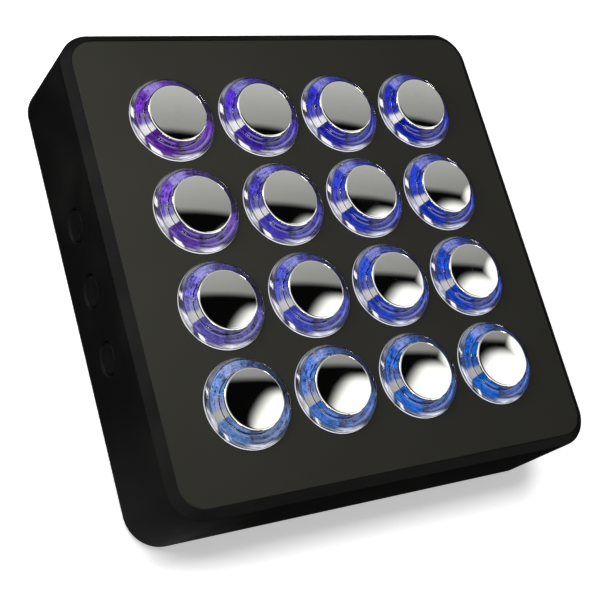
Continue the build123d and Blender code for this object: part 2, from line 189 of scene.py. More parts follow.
def softened(corners, rounds, steps=6):
    """A profile with its corners rounded. Each round is an arc that touches both sides of its corner,
    and starts at radius / tan(half the corner's angle) from it."""
    corners = np.array(corners, float)
    points = [corners[:1]]
    for before, corner, after, radius in zip(corners, corners[1:], corners[2:], rounds):
        if radius == 0:
            points.append(corner[None])
            continue
        back = (before - corner) / np.linalg.norm(before - corner)
        ahead = (after - corner) / np.linalg.norm(after - corner)
        half = np.arccos(np.clip(back @ ahead, -1, 1)) / 2
        middle = (back + ahead) / np.linalg.norm(back + ahead)
        centre = corner + middle * radius / np.sin(half)
        start = corner + back * radius / np.tan(half) - centre
        end = corner + ahead * radius / np.tan(half) - centre
        turn = np.arctan2(start[0] * end[1] - start[1] * end[0], start @ end)
        angle = np.linspace(0, turn, steps)[:, None]
        points.append(centre + start * np.cos(angle) + start[::-1] * (-1, 1) * np.sin(angle))
    points.append(corners[-1:])
    return np.concatenate(points)


def turned(profile, steps, centre=(0, 0)):
    """Turns a profile of (radius, height) round a vertical axis:
    x = centre + radius cos(angle), y = centre + radius sin(angle), z = height."""
    radius, height = np.array(profile, float).T[:, :, None]
    angle = np.linspace(0, 2 * np.pi, steps + 1)[None, :]
    x = centre[0] + radius * np.cos(angle)
    y = centre[1] + radius * np.sin(angle)
    return np.stack([x, y, height + 0 * angle], -1)


def moulded(name, *grids):
    """A piece with a skin over each grid of points: a quad between each four neighbours, facing out by
    the sign of the grid's volume, with seams and poles welded. U runs along columns and V along rows."""
    points, quads, places = [], [], []
    count = 0
    for grid in grids:
        rows, columns = grid.shape[:2]
        index = np.arange(rows * columns).reshape(rows, columns)
        around = [index[:-1, :-1], index[:-1, 1:], index[1:, 1:], index[1:, :-1]]
        faces = np.stack(around, -1).reshape(-1, 4)
        flat = grid.reshape(-1, 3)
        first, second, third, fourth = (flat[faces[:, corner]] - flat.mean(0) for corner in range(4))
        volume = (first * np.cross(second, third)).sum() + (first * np.cross(third, fourth)).sum()
        if volume < 0:
            faces = faces[:, ::-1]
        u, v = np.meshgrid(np.linspace(0, 1, columns), np.linspace(0, 1, rows))
        places.append(np.stack([u, v], -1).reshape(-1, 2))
        points.append(flat)
        quads.append(faces + count)
        count += len(flat)
    points, quads, places = np.concatenate(points), np.concatenate(quads), np.concatenate(places)
    mesh = bpy.data.meshes.new(name)
    mesh.from_pydata(points.tolist(), [], quads.tolist())
    mesh.uv_layers.new(name="UVMap").data.foreach_set("uv", places[quads].ravel())
    mesh.update(calc_edges=True)
    work = bmesh.new()
    work.from_mesh(mesh)
    bmesh.ops.remove_doubles(work, verts=work.verts, dist=weld)
    work.to_mesh(mesh)
    work.free()
    mesh.shade_smooth()
    mesh.set_sharp_from_angle(angle=edge_angle)
    piece = bpy.data.objects.new(name, mesh)
    scene.collection.objects.link(piece)
    return piece


def four_corners(low, high, reach):
    """Centres of four like pieces whose outer edges reach the corners of a box."""
    return [(x, y) for x in (low.x + reach, high.x - reach) for y in (low.y + reach, high.y - reach)]


def rubber():
    """Dull rubber: paler dust in patches, over a soft matt grain."""
    mix = Finish("foot_rubber")
    dust = mix.ease(mix.noise(260.0, detail=4.0, rough=0.65), 0.45, 0.75)
    grain = mix.noise(3200.0, detail=2.0)
    return mix.surface(
        Base_Color=mix.blend(dust, rubber_black, rubber_dust),
        Roughness=0.72 + dust * 0.2,
        Specular_Ior_Level=0.3,
        Normal=mix.bump(grain, strength=0.4, depth=0.03 * mm),
    )


feet_low, feet_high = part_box("rubber_feet")
foot_radius = 8.0 * mm
foot_profile = softened(
    [(0, 0), (foot_radius, 0), (foot_radius, feet_high.z), (0, feet_high.z)],
    [foot_sole_round, foot_top_round],
)
foot_spots = four_corners(feet_low, feet_high, foot_radius)
feet = moulded("rubber_feet_soles", *[turned(foot_profile, foot_steps, spot) for spot in foot_spots])
feet.data.materials.append(rubber())
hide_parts("rubber_feet")
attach(feet, "controller")

# Base screws and light board screws: countersunk socket screws under the cover, and small pan heads.
# Zinc-plated steel, turned on a lathe, which leaves fine marks in its gloss.
zinc_bright = (0.56, 0.57, 0.60, 1.0)
zinc_dull = (0.38, 0.38, 0.38, 1.0)


def plated_steel():
    """Zinc-plated steel: bright, faintly blue, with fine turning marks and a few dull patches."""
    mix = Finish("screw_steel")
    marks = mix.noise(5200.0, detail=1.0)
    dull = mix.ease(mix.noise(700.0), 0.4, 0.7)
    return mix.surface(
        Base_Color=mix.blend(dull, zinc_bright, zinc_dull),
        Metallic=1.0,
        Roughness=0.24 + dull * 0.2 + marks * 0.08,
        Normal=mix.bump(marks, strength=0.25, depth=0.01 * mm),
    )


screw_finish = plated_steel()
dress("base_screws", screw_finish)
dress("led_board_screws", screw_finish)

# Circuit boards: the main board on the cover's pads, the light board under the deck, and two side boards.
# Glass-fibre laminate under green solder mask, with tracks and pads that show paler through it.
mask_green = (0.006, 0.062, 0.022, 1.0)
track_green = (0.02, 0.17, 0.06, 1.0)


def laminate():
    """Green solder mask over copper: tracks from a square cell pattern, over a woven ground."""
    mix = Finish("board_laminate")
    cells = mix.node(
        "ShaderNodeTexVoronoi",
        {"feature": "F2", "distance": "CHEBYCHEV"},
        {"Vector": mix.place(), "Scale": 260.0, "Randomness": 0.85},
    )
    track = mix.ease(cells, 0.62, 0.66)
    weave = mix.noise(3000.0, detail=1.0)
    return mix.surface(
        Base_Color=mix.blend(track, mask_green, track_green),
        Roughness=0.22 + weave * 0.15,
        Coat_Weight=0.3,
        Normal=mix.bump(track + weave * 0.2, strength=0.3, depth=0.03 * mm),
    )


board_finish = laminate()
for board in ("main_board", "led_board", "left_side_board", "right_side_board"):
    dress(board, board_finish)

# Chips and pin header: the controller, two light drivers, the crystal, the regulator, and the header
# that joins both boards. Matt black epoxy, slightly paler where the mould left its skin.
chip_black = (0.016, 0.016, 0.018, 1.0)
chip_pale = (0.03, 0.03, 0.032, 1.0)
chip_finish = moulded_plastic("chip_plastic", chip_black, chip_pale, gloss=0.55, grain=0.7, specular=0.4)
dress("board_chips", chip_finish)
dress("board_header", chip_finish)

# Switches: a micro switch under each push button and a square one behind each side button.
# Dark grey nylon with a faint moulding texture.
switch_grey = (0.042, 0.042, 0.046, 1.0)
switch_worn = (0.062, 0.062, 0.066, 1.0)
switch_finish = moulded_plastic(
    "switch_plastic", switch_grey, switch_worn, gloss=0.4, grain=0.5, specular=0.5
)
for row in range(1, 5):
    dress(f"button_switches_row_{row}", switch_finish)
dress("side_switches", switch_finish)

# Data socket: a pressed steel shield round a plastic body with the contact tongue in its mouth.
# Nickel-plated sheet with fine brushed lines along it, and off-white moulded plastic.
brush_stretch = (1.0, 0.06, 1.0)
nickel_bright = (0.62, 0.61, 0.59, 1.0)
nickel_tarnish = (0.45, 0.43, 0.40, 1.0)
socket_white = (0.70, 0.69, 0.65, 1.0)
socket_yellowed = (0.58, 0.57, 0.53, 1.0)
sheet = Finish("socket_steel")
brushed = sheet.node("ShaderNodeMapping", sockets={"Vector": sheet.place(), "Scale": brush_stretch})
lines = sheet.noise(5200.0, detail=2.0, where=brushed)
tarnish = sheet.ease(sheet.noise(420.0), 0.45, 0.75)
dress("data_socket_shield", sheet.surface(
    Base_Color=sheet.blend(tarnish, nickel_bright, nickel_tarnish),
    Metallic=1.0,
    Roughness=0.22 + lines * 0.22,
    Normal=sheet.bump(lines, strength=0.2, depth=0.01 * mm),
))
dress("data_socket_insulator", moulded_plastic(
    "socket_plastic", socket_white, socket_yellowed, gloss=0.38, grain=0.4, specular=0.5
))

# Case: one moulded shell with leaning walls, a bevel round the face and a deck that carries the plate.
# Black plastic with soft edges. Holes for buttons, side buttons and socket are cut through the shell.
case_low, case_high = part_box("case_body")
plate_low, plate_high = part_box("face_plate")
socket_low, socket_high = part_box("data_socket_shield")
housings = {number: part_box(f"button_housing_{number}") for number in range(1, 17)}
button_spots = {number: (low + high) / 2 for number, (low, high) in housings.items()}
face_z = plate_high.z
deck_top = plate_low.z
case_black = (0.0038, 0.0038, 0.0038, 1.0)
case_smudged = (0.0070, 0.0070, 0.0068, 1.0)
case_lean = tan(radians(0.8))
case_corner = 11.1 * mm
case_wall = 2.8 * mm
case_rabbet = 1.5 * mm
cover_thickness = 2.0 * mm
deck_thickness = 2.2 * mm
bevel_width = 2.65 * mm
bevel_drop = 2.15 * mm
face_rim = 0.2 * mm
plate_gap = 0.1 * mm
recess_round = 0.04 * mm
face_round = 0.12 * mm
bevel_round = 0.3 * mm
bottom_round = 0.5 * mm
rabbet_round = 0.1 * mm
panel_hole = 12.05 * mm
corner_steps = 28
hole_steps = 96


def squared(inset, height):
    """One ring of the case: a square with round corners, moved in by the inset all round.
    Each corner is a quarter circle about a centre that stays put, so its radius shrinks as well."""
    half = case_high.x - inset
    corner = max(case_corner - inset, 0)
    turn = np.linspace(0, np.pi / 2, corner_steps)
    angle = (np.arange(4)[:, None] * np.pi / 2 + turn).ravel()
    sides = np.repeat(np.array([(1, 1), (-1, 1), (-1, -1), (1, -1)]), corner_steps, axis=0)
    x, y = (half - corner) * sides.T + corner * np.array([np.cos(angle), np.sin(angle)])
    ring = np.stack([x, y, height + 0 * x], -1)
    return np.concatenate([ring, ring[:1]])


def cut(piece, cutter):
    """Cuts the cutter's shape out of a piece, and keeps the result as its mesh."""
    tool = piece.modifiers.new("holes", "BOOLEAN")
    tool.object = cutter
    tool.solver = "EXACT"
    depsgraph = bpy.context.evaluated_depsgraph_get()
    mesh = bpy.data.meshes.new_from_object(piece.evaluated_get(depsgraph))
    piece.modifiers.clear()
    piece.data = mesh
    mesh.set_sharp_from_angle(angle=edge_angle)
    bpy.data.objects.remove(cutter)


def tipped(grid, spot, way):
    """Lays down a grid drawn about a vertical axis, so that its top points along a way in X and Y."""
    x, y, z = grid[..., 0], grid[..., 1], grid[..., 2]
    return np.stack([spot[0] + way[0] * z - way[1] * x, spot[1] + way[1] * z + way[0] * x, spot[2] + y], -1)


def block(low, high):
    """A closed box as a grid: its outline in X and Y carried from the bottom to the top."""
    x = np.array([low[0], high[0], high[0], low[0], low[0]])
    y = np.array([low[1], low[1], high[1], high[1], low[1]])
    middle = (x[0] + x[1]) / 2, (y[1] + y[2]) / 2
    rows = [(0, low[2]), (1, low[2]), (1, high[2]), (0, high[2])]
    return np.stack([
        np.stack([middle[0] + share * (x - middle[0]), middle[1] + share * (y - middle[1]), z + 0 * x], -1)
        for share, z in rows
    ])


case_bottom = case_low.z
bevel_z = face_z - bevel_drop
recess_inset = case_high.x - (plate_high.x + plate_gap)
bevel_inset = recess_inset - face_rim
wall_inset = bevel_inset - bevel_width
cover_top = case_bottom + cover_thickness
deck_bottom = deck_top - deck_thickness
case_profile = softened(
    [
        (case_high.x, deck_top),
        (recess_inset, deck_top),
        (recess_inset, face_z),
        (bevel_inset, face_z),
        (wall_inset, bevel_z),
        (0, case_bottom),
        (case_rabbet, case_bottom),
        (case_rabbet, cover_top),
        (case_wall + case_lean * cover_thickness, cover_top),
        (case_wall + case_lean * (deck_bottom - case_bottom), deck_bottom),
        (case_high.x, deck_bottom),
    ],
    [0, recess_round, face_round, bevel_round, bottom_round, rabbet_round, 0, 0, 0],
)
case = moulded("case_shell", np.stack([squared(inset, height) for inset, height in case_profile]))

side_low, side_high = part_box("side_button_left_1")
side_set = 0.3 * mm
side_wall_x = -side_low.x + side_set
side_button_z = (side_low.z + side_high.z) / 2
side_hole = 5.0 * mm
side_bevel = 0.6 * mm
over = 1.0 * mm
inside = 2 * case_wall
cut_top, cut_bottom = deck_top + over, deck_bottom - over
deck_cut = [(0, cut_top), (panel_hole, cut_top), (panel_hole, cut_bottom), (0, cut_bottom)]
side_mouth = side_hole + side_bevel + over
side_cut = [(0, over), (side_mouth, over), (side_hole, -side_bevel), (side_hole, -inside), (0, -inside)]
side_names = {-1: "left", 1: "right"}
side_spots = {}
for side, side_name in side_names.items():
    for number in (1, 2, 3):
        low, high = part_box(f"side_button_{side_name}_{number}")
        side_spots[side, number] = (side * side_wall_x, (low.y + high.y) / 2, side_button_z)
socket_gap = 0.3 * mm
socket_cut = block(
    (socket_low.x - socket_gap, socket_low.z - socket_gap, -inside),
    (socket_high.x + socket_gap, socket_high.z + socket_gap, over),
)
cutter = moulded(
    "case_cutter",
    *[turned(deck_cut, hole_steps, spot) for spot in button_spots.values()],
    *[tipped(turned(side_cut, hole_steps), spot, (side, 0)) for (side, number), spot in side_spots.items()],
    tipped(socket_cut, (0, case_high.y, 0), (0, 1)),
)
cut(case, cutter)
case_finish = moulded_plastic("case_plastic", case_black, case_smudged, gloss=0.4, grain=0.35, specular=0.05)
case.data.materials.clear()
case.data.materials.append(case_finish)
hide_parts("case_body")
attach(case, "controller")

# Bosses inside the case: four tall ones that take the base screws, four low ones for the light board.
# Moulded with the shell, so they share its plastic. They stand clear of each other and touch the deck.
screw_low, screw_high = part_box("base_screws")
led_low, led_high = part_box("led_board_screws")
boss_radius = 4.0 * mm
boss_bore = 1.5 * mm
led_boss_radius = 2.6 * mm
led_boss_bore = 1.0 * mm
led_board_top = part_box("led_board")[1].z
screw_head_radius = 2.9 * mm
led_screw_head_radius = 2.0 * mm
boss_steps = 48


def bossed(outer, bore, bottom, top, spot):
    """A straight tube between two heights: one closed rectangle turned round the spot."""
    rectangle = [(bore, bottom), (outer, bottom), (outer, top), (bore, top), (bore, bottom)]
    return turned(rectangle, boss_steps, spot)


tall = [bossed(boss_radius, boss_bore, cover_top, deck_bottom, spot)
        for spot in four_corners(screw_low, screw_high, screw_head_radius)]
low_ones = [bossed(led_boss_radius, led_boss_bore, led_board_top, deck_bottom, spot)
            for spot in four_corners(led_low, led_high, led_screw_head_radius)]
bosses = moulded("case_bosses", *tall, *low_ones)
bosses.data.materials.append(case_finish)
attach(bosses, "controller")

# Face plate: a flat sheet bonded into the recess, with a hole for each button and a fine broken edge.
# Steel painted a warm, near-black grey. The paint has a fine even texture and a satin sheen.
paint_dark = (0.0166, 0.0163, 0.0134, 1.0)
paint_pale = (0.0192, 0.0189, 0.0157, 1.0)
paint = Finish("plate_paint")
paint_fine = paint.noise(2400.0, rough=0.6)
paint_cloud = paint.ease(paint.noise(30.0, rough=0.5), 0.3, 0.7)
dress("face_plate", paint.surface(
    Base_Color=paint.blend(paint_cloud * 0.5 + paint_fine * 0.5, paint_dark, paint_pale),
    Roughness=0.46 + paint_fine * 0.1,
    Specular_Ior_Level=0.03,
    Normal=paint.bump(paint_fine, strength=0.25, depth=0.01 * mm),
))

# Button housings: the clear ring round each button, with the barrel that goes through the face.
# Injection-moulded clear plastic in one piece, with snap tongues, a collar and cheeks for the switch.
bezel_radius = (housings[1][1].x - housings[1][0].x) / 2
bezel_shoulder = bezel_radius - 1.3 * mm
collar_bore = 9.8 * mm
barrel_radius = bezel_radius - 1.9 * mm
barrel_bore = barrel_radius - 1.4 * mm
crown_height = 2.4 * mm
flank_start = 0.5 * mm
collar_bottom = -2.5 * mm
barrel_bottom = -14.4 * mm
barrel_floor = -13.0 * mm
post_hole = 2.8 * mm
seat_gap = 0.02 * mm
flank_bulge = 0.19 * mm
crown_bulge = 0.35 * mm
bezel_foot = [(0.12 * mm, seat_gap), (0.03 * mm, 0.05 * mm), (0.0, 0.16 * mm)]
ring_steps = 160
clear_pale = (0.93, 0.94, 1.0, 1.0)
clear_full = (0.985, 0.985, 1.0, 1.0)


def bulged(start, end, rise, steps):
    """Points of the circular arc between two points that rises to the left of the straight line."""
    start, end = np.array(start, float), np.array(end, float)
    along = end - start
    length = np.linalg.norm(along)
    radius = (length ** 2 / 4 + rise ** 2) / (2 * rise)
    half = np.arcsin(length / 2 / radius)
    angle = np.linspace(-half, half, steps)[:, None]
    across = np.array([-along[1], along[0]]) / length
    middle = (start + end) / 2 - across * (radius - rise)
    return middle + radius * (np.sin(angle) * along / length + np.cos(angle) * across)


shoulder_corner = (bezel_shoulder, crown_height)
crown_edge = (collar_bore, crown_height)
flank_edge = (bezel_radius, flank_start)
foot_points = [(bezel_radius - inset, height) for inset, height in bezel_foot]
housing_profile = np.concatenate([
    foot_points,
    bulged(flank_edge, shoulder_corner, -flank_bulge, steps=14),
    bulged(shoulder_corner, crown_edge, -crown_bulge, steps=18),
    [
        (collar_bore, collar_bottom),
        (barrel_bore, collar_bottom),
        (barrel_bore, barrel_floor),
        (post_hole, barrel_floor),
        (post_hole, barrel_bottom),
        (barrel_radius, barrel_bottom),
        (barrel_radius, seat_gap),
    ],
    foot_points[:1],
])
snap_gap = 0.1 * mm
snap_top = deck_bottom - face_z - snap_gap
snap_height = 3.5 * mm
snap_root = 0.02 * mm
snap_foot = 0.05 * mm
snap_reach = 0.7 * mm
snap_half = 2.5 * mm
cheek_half = 8.0 * mm
cheek_inner = 3.3 * mm
cheek_thickness = 1.5 * mm
cheek_drop = 7.0 * mm
peg_spacing = 9.5 * mm
peg_radius = 1.0 * mm
peg_reach = 0.8 * mm
peg_drop = 5.0 * mm
peg_steps = 24
peg_profile = [(0, 0), (peg_radius, 0), (peg_radius, peg_reach), (0, peg_reach)]


def round_button(profile, steps, spot):
    """A profile turned round a button, with its heights counted from the face."""
    return turned(np.array(profile) + (0, face_z), steps, spot)


def clear_plastic():
    """Clear moulded plastic: fully see-through, with the faintest haze and flow lines in its gloss."""
    mix = Finish("clear_plastic")
    flow = mix.noise(160.0, detail=2.0)
    return mix.surface(
        Base_Color=mix.blend(flow, clear_pale, clear_full),
        Roughness=flow * 0.03,
        Transmission_Weight=1.0,
        Ior=1.32,
    )


clear_finish = clear_plastic()
for number, spot in button_spots.items():
    seat = (spot.x, spot.y, face_z)
    extras = []
    for facing in (-1, 1):
        tongue_x = sorted([facing * (barrel_radius + snap_root), facing * (barrel_radius + snap_reach)])
        wedge = block((tongue_x[0], -snap_half, snap_top - snap_height), (tongue_x[1], snap_half, snap_top))
        lower_x = np.abs(wedge[:2, :, 0])
        wedge[:2, :, 0] = facing * np.minimum(lower_x, barrel_radius + snap_foot)
        extras.append(wedge + seat)
        cheek_y = sorted([facing * cheek_inner, facing * (cheek_inner + cheek_thickness)])
        cheek_low = (-cheek_half, cheek_y[0], barrel_bottom - cheek_drop)
        cheek_high = (cheek_half, cheek_y[1], barrel_bottom)
        extras.append(block(cheek_low, cheek_high) + seat)
        for peg_x in (-peg_spacing / 2, peg_spacing / 2):
            root = (spot.x + peg_x, spot.y + facing * cheek_inner, face_z + barrel_bottom - peg_drop)
            extras.append(tipped(turned(peg_profile, peg_steps), root, (0, -facing)))
    body = round_button(housing_profile, ring_steps, spot)
    housing = moulded(f"button_bezel_{number}", body, *extras)
    housing.data.materials.append(clear_finish)
    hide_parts(f"button_housing_{number}")
    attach(housing, "controller")

# Lit rings: the light that gathers inside each clear ring, from the four lights round its barrel.
# A thin annulus in the moulding that glows, from violet at the back left to blue at the front right.
# Its glow also holds painted highlights and painted shade that follow the angle round each ring.
glow_inner = 9.98 * mm
glow_outer = 12.4 * mm
glow_bottom = 1.15 * mm
glow_top = 1.5 * mm
glow_bulge = 0.3 * mm
back_left_light = (0.22, 0.028, 0.74, 1.0)
back_right_light = (0.0, 0.020, 0.72, 1.0)
front_left_light = (0.20, 0.38, 0.86, 1.0)
front_right_light = (0.0, 0.16, 0.80, 1.0)
# Colour of the painted highlights in the rings.
painted_highlight_violet = (0.50, 0.50, 0.80, 1.0)
# Colour of the painted white highlight at each ring's gap.
painted_gap_white = (0.88, 0.88, 0.87)
glow_base = (0.01, 0.01, 0.012, 1.0)
grid_low, grid_high = button_spots[13], button_spots[4]
button_pitch = (grid_high.x - grid_low.x) / 3
gap_shift = 6 / 360
own_by_column = 110.0
own_by_row = 310.0
streak_circle = 1.3
glow_profile = np.concatenate([
    [(glow_inner, glow_bottom)],
    bulged((glow_inner, glow_top), (glow_outer, glow_top), glow_bulge, steps=12),
    [(glow_outer, glow_bottom), (glow_inner, glow_bottom)],
])


def band(value, start, full, fade, end):
    """1 from full to fade, 0 before start and past end, and a smooth slope on each side."""
    mix = value.finish
    return mix.ease(value, start, full) * (1 - mix.ease(value, fade, end))


def dimmed(colour, share):
    """A colour with only a share of its strength."""
    sockets = {0: colour, "Scale": share}
    return share.finish.node("ShaderNodeVectorMath", {"operation": "SCALE"}, sockets)


class RingLight(Finish):
    """Light in a clear ring. It knows where a point lies on its own ring and which colour shines there.

    right and back are the button's place on the face from 0 to 1, and left and front what is left of them.
    turn is the way round the ring from 0 to 1, anticlockwise from its right. own differs on each button.
    """

    def __init__(self, name):
        super().__init__(name)
        self.owner.cycles.emission_sampling = "NONE"
        x, y = self.axes(self.place())[:2]
        half = button_pitch / 2
        ring_x = (x - grid_low.x + half).maths("FLOORED_MODULO", button_pitch) - half
        ring_y = (y - grid_low.y + half).maths("FLOORED_MODULO", button_pitch) - half
        self.radius = (ring_x * ring_x + ring_y * ring_y).maths("SQRT")
        self.right = (x - ring_x - grid_low.x) / (grid_high.x - grid_low.x)
        self.back = (y - ring_y - grid_low.y) / (grid_high.y - grid_low.y)
        self.left = 1 - self.right
        self.front = 1 - self.back
        self.turn = (ring_y.maths("ARCTAN2", ring_x) / (2 * np.pi) - self.back * gap_shift).maths("FRACT")
        self.cosine = ring_x / self.radius
        self.sine = ring_y / self.radius
        self.own = (x - ring_x) * own_by_column + (y - ring_y) * own_by_row

    def streaks(self, across, stretch, scale):
        """Noise drawn out along the ring, different on each button."""
        spot = {0: self.cosine * streak_circle, 1: self.sine * streak_circle, 2: across * stretch + self.own}
        return self.noise(scale, rough=0.6, where=self.node("ShaderNodeCombineXYZ", sockets=spot))

    def round_by(self, *stops):
        """A value that follows stops of (degrees, value) round the ring, level before and past them."""
        colours = [(angle / 360, (value, value, value, 1.0)) for angle, value in stops]
        ramp = self.node("ShaderNodeValToRGB", {"stops": colours}, {0: self.turn})
        return self.node("ShaderNodeSeparateColor", sockets={0: ramp})

    def shine(self):
        """The light's colour here: the four corner colours, mixed from front to back and then across.

        The share of the back colours is back ^ 0.45 and that of the right ones is 1 - left ^ 2.2, so the
        colour changes quickest near the front and near the left.
        """
        backwards = self.back.above(0.0).maths("POWER", 0.45)
        across = 1 - self.left.above(0.0).maths("POWER", 2.2)
        left = self.blend(backwards, front_left_light, back_left_light)
        right = self.blend(backwards, front_right_light, back_right_light)
        return self.blend(across, left, right)

    def glow(self, colour):
        """Closes the material: it shines in the colour and reflects next to nothing."""
        return self.surface(Base_Color=glow_base, Roughness=0.5, Specular_Ior_Level=0.0,
                            Emission_Color=colour, Emission_Strength=1.0)


def crown_light():
    """Light in the ring's crown: deep colour on both sides of a white gap at the left, which is a painted
    highlight, and paler painted highlights that raise it in places. These come as cloudy stretches, fine
    lines along the ring and narrow bands. across runs from 0 at the ring's inner edge to 1 at its outer one."""
    mix = RingLight("ring_light")
    across = (mix.radius - glow_inner) / (glow_outer - glow_inner)
    patches = mix.noise(520.0, detail=4.0, rough=0.62)
    streaks = mix.streaks(across, stretch=3.4, scale=2.6)
    ribs = mix.streaks(across, stretch=0.35, scale=11.0)
    cloud = mix.ease(streaks * 0.35 + patches * 0.35 + ribs * 0.3, 0.38, 0.62)
    lines = mix.ease((across * 17.0 + streaks * 6.0).maths("SINE"), 0.8, 1.0)
    wander = 5 / 360
    mix.turn = mix.turn + (streaks - 0.5) * wander

    # How bright the ring is at each angle, with painted shade at its far side and along a dark line, how
    # much painted highlight lies in it and how many fine highlight lines.
    power = mix.round_by(
        (0, 0.05), (48, 0.07), (66, 0.25), (84, 0.4), (100, 0.85), (128, 1.0), (158, 1.0), (166, 0.7),
        (203, 0.72), (250, 0.74), (256, 0.22), (262, 0.25), (268, 0.45), (305, 0.45), (318, 0.65),
        (338, 0.65), (348, 0.12), (359, 0.05),
    )
    pale = mix.round_by(
        (0, 0.0), (88, 0.1), (100, 0.6), (122, 0.6), (127, 0.02), (158, 0.02), (164, 0.06), (178, 0.1),
        (188, 0.5), (203, 0.0), (249, 0.0), (257, 0.1), (300, 0.15), (318, 0.03), (340, 0.05),
    )
    busy = mix.round_by(
        (0, 0.2), (120, 0.12), (130, 0.03), (160, 0.03), (168, 0.6), (186, 0.6), (206, 0.05), (225, 0.12),
        (248, 0.12), (260, 0.9), (320, 0.6), (350, 0.2),
    )

    # The painted highlight bands: where each lies across the ring, and how strong it is at each angle.
    outer = band(across, 0.76, 0.82, 0.92, 0.98)
    outer_lit = mix.round_by(
        (164, 0), (172, 0.5), (190, 0.6), (193, 0), (204, 0), (206, 0.7), (214, 0.6), (220, 0)
    )
    middle = band(across, 0.55, 0.62, 0.78, 0.85)
    middle_lit = mix.round_by((254, 0), (264, 0.4), (272, 0.75), (318, 0.75), (330, 0.1), (340, 0))
    inner = 1 - mix.ease(across, 0.42, 0.5)
    inner_lit = mix.round_by((158, 0), (166, 0.55), (188, 0.65), (192, 0))
    foot = 1 - mix.ease(across, 0.08, 0.2)
    foot_lit = mix.round_by((258, 0), (268, 0.6), (320, 0.6), (330, 0.1), (340, 0))
    arc = band(across, 0.12, 0.16, 0.22, 0.27)
    arc_lit = mix.round_by((214, 0), (220, 0.7), (248, 0.6), (254, 0))

    # The deep colour: mottled all round, but more even in the patch on the front side of the gap.
    near_patch = mix.round_by((200, 0), (206, 1), (248, 1), (256, 0))
    mottled = 0.02 + cloud * 1.35
    level = 0.6 + mix.front * (mix.right * 0.3 + 0.2) + mix.right * (0.6 - mix.right * 0.5)
    evened = (0.3 + mottled * 0.6) * level
    shine = mix.shine()
    deep = dimmed(shine, mottled * (1 - near_patch) + evened * near_patch)

    # The painted highlights over it, which fade from some bands towards the right-hand buttons.
    leftward = mix.left * (0.85 + mix.front * 0.5)
    cloudy = (pale + inner * inner_lit * leftward) * (0.4 + cloud * 0.8)
    fine = lines * busy * (1 - mix.right * outer_lit * 1.6).above(0.0)
    bands = outer * outer_lit * (1 - mix.right * 0.88)
    bands = bands + (middle * middle_lit + foot * foot_lit) * (1 - mix.right * 0.3)
    painted_highlight_share = (cloudy + fine * 0.6 + bands * 0.8 + arc * arc_lit).below(0.9)
    painted_highlight_colour = dimmed(mix.blend(0.8, shine, painted_highlight_violet), power.above(0.55))
    colour = mix.blend(painted_highlight_share, dimmed(deep, power), painted_highlight_colour)

    # The gap: a painted white highlight across the ring, stronger on back buttons and towards the inner
    # edge.
    painted_gap_highlight = band(mix.turn, 181 / 360, 189 / 360, 200 / 360, 202 / 360)
    painted_gap_colour = dimmed(painted_gap_white, (0.5 + mix.back * 0.5) * (1.05 - lines * 0.25 - across * 0.2))
    return mix.glow(mix.blend(painted_gap_highlight, colour, painted_gap_colour))


glow_grids = [round_button(glow_profile, ring_steps, spot) for spot in button_spots.values()]
glow = moulded("ring_light", *glow_grids)
glow.data.materials.append(crown_light())
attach(glow, "controller")

# Ring flanks: a thin glowing cone just under the clear surface of each ring's slope, which carries painted
# light:
# # grey and white painted reflections of the studio's light, painted shade at the far side and some of the
# ring's colour.
flank_top = (12.45 * mm, 1.95 * mm)
flank_foot = (13.62 * mm, 0.1 * mm)
flank_skin = 0.12 * mm
flank_profile = [
    flank_foot,
    flank_top,
    (flank_top[0] - flank_skin, flank_top[1] - flank_skin),
    (flank_foot[0] - flank_skin, flank_foot[1]),
    flank_foot,
]
plain_white = (1.0, 1.0, 1.0, 1.0)
# Colour of the painted reflections of two lamps on each ring's slope.
reflection_white = (0.95, 0.93, 0.97, 1.0)


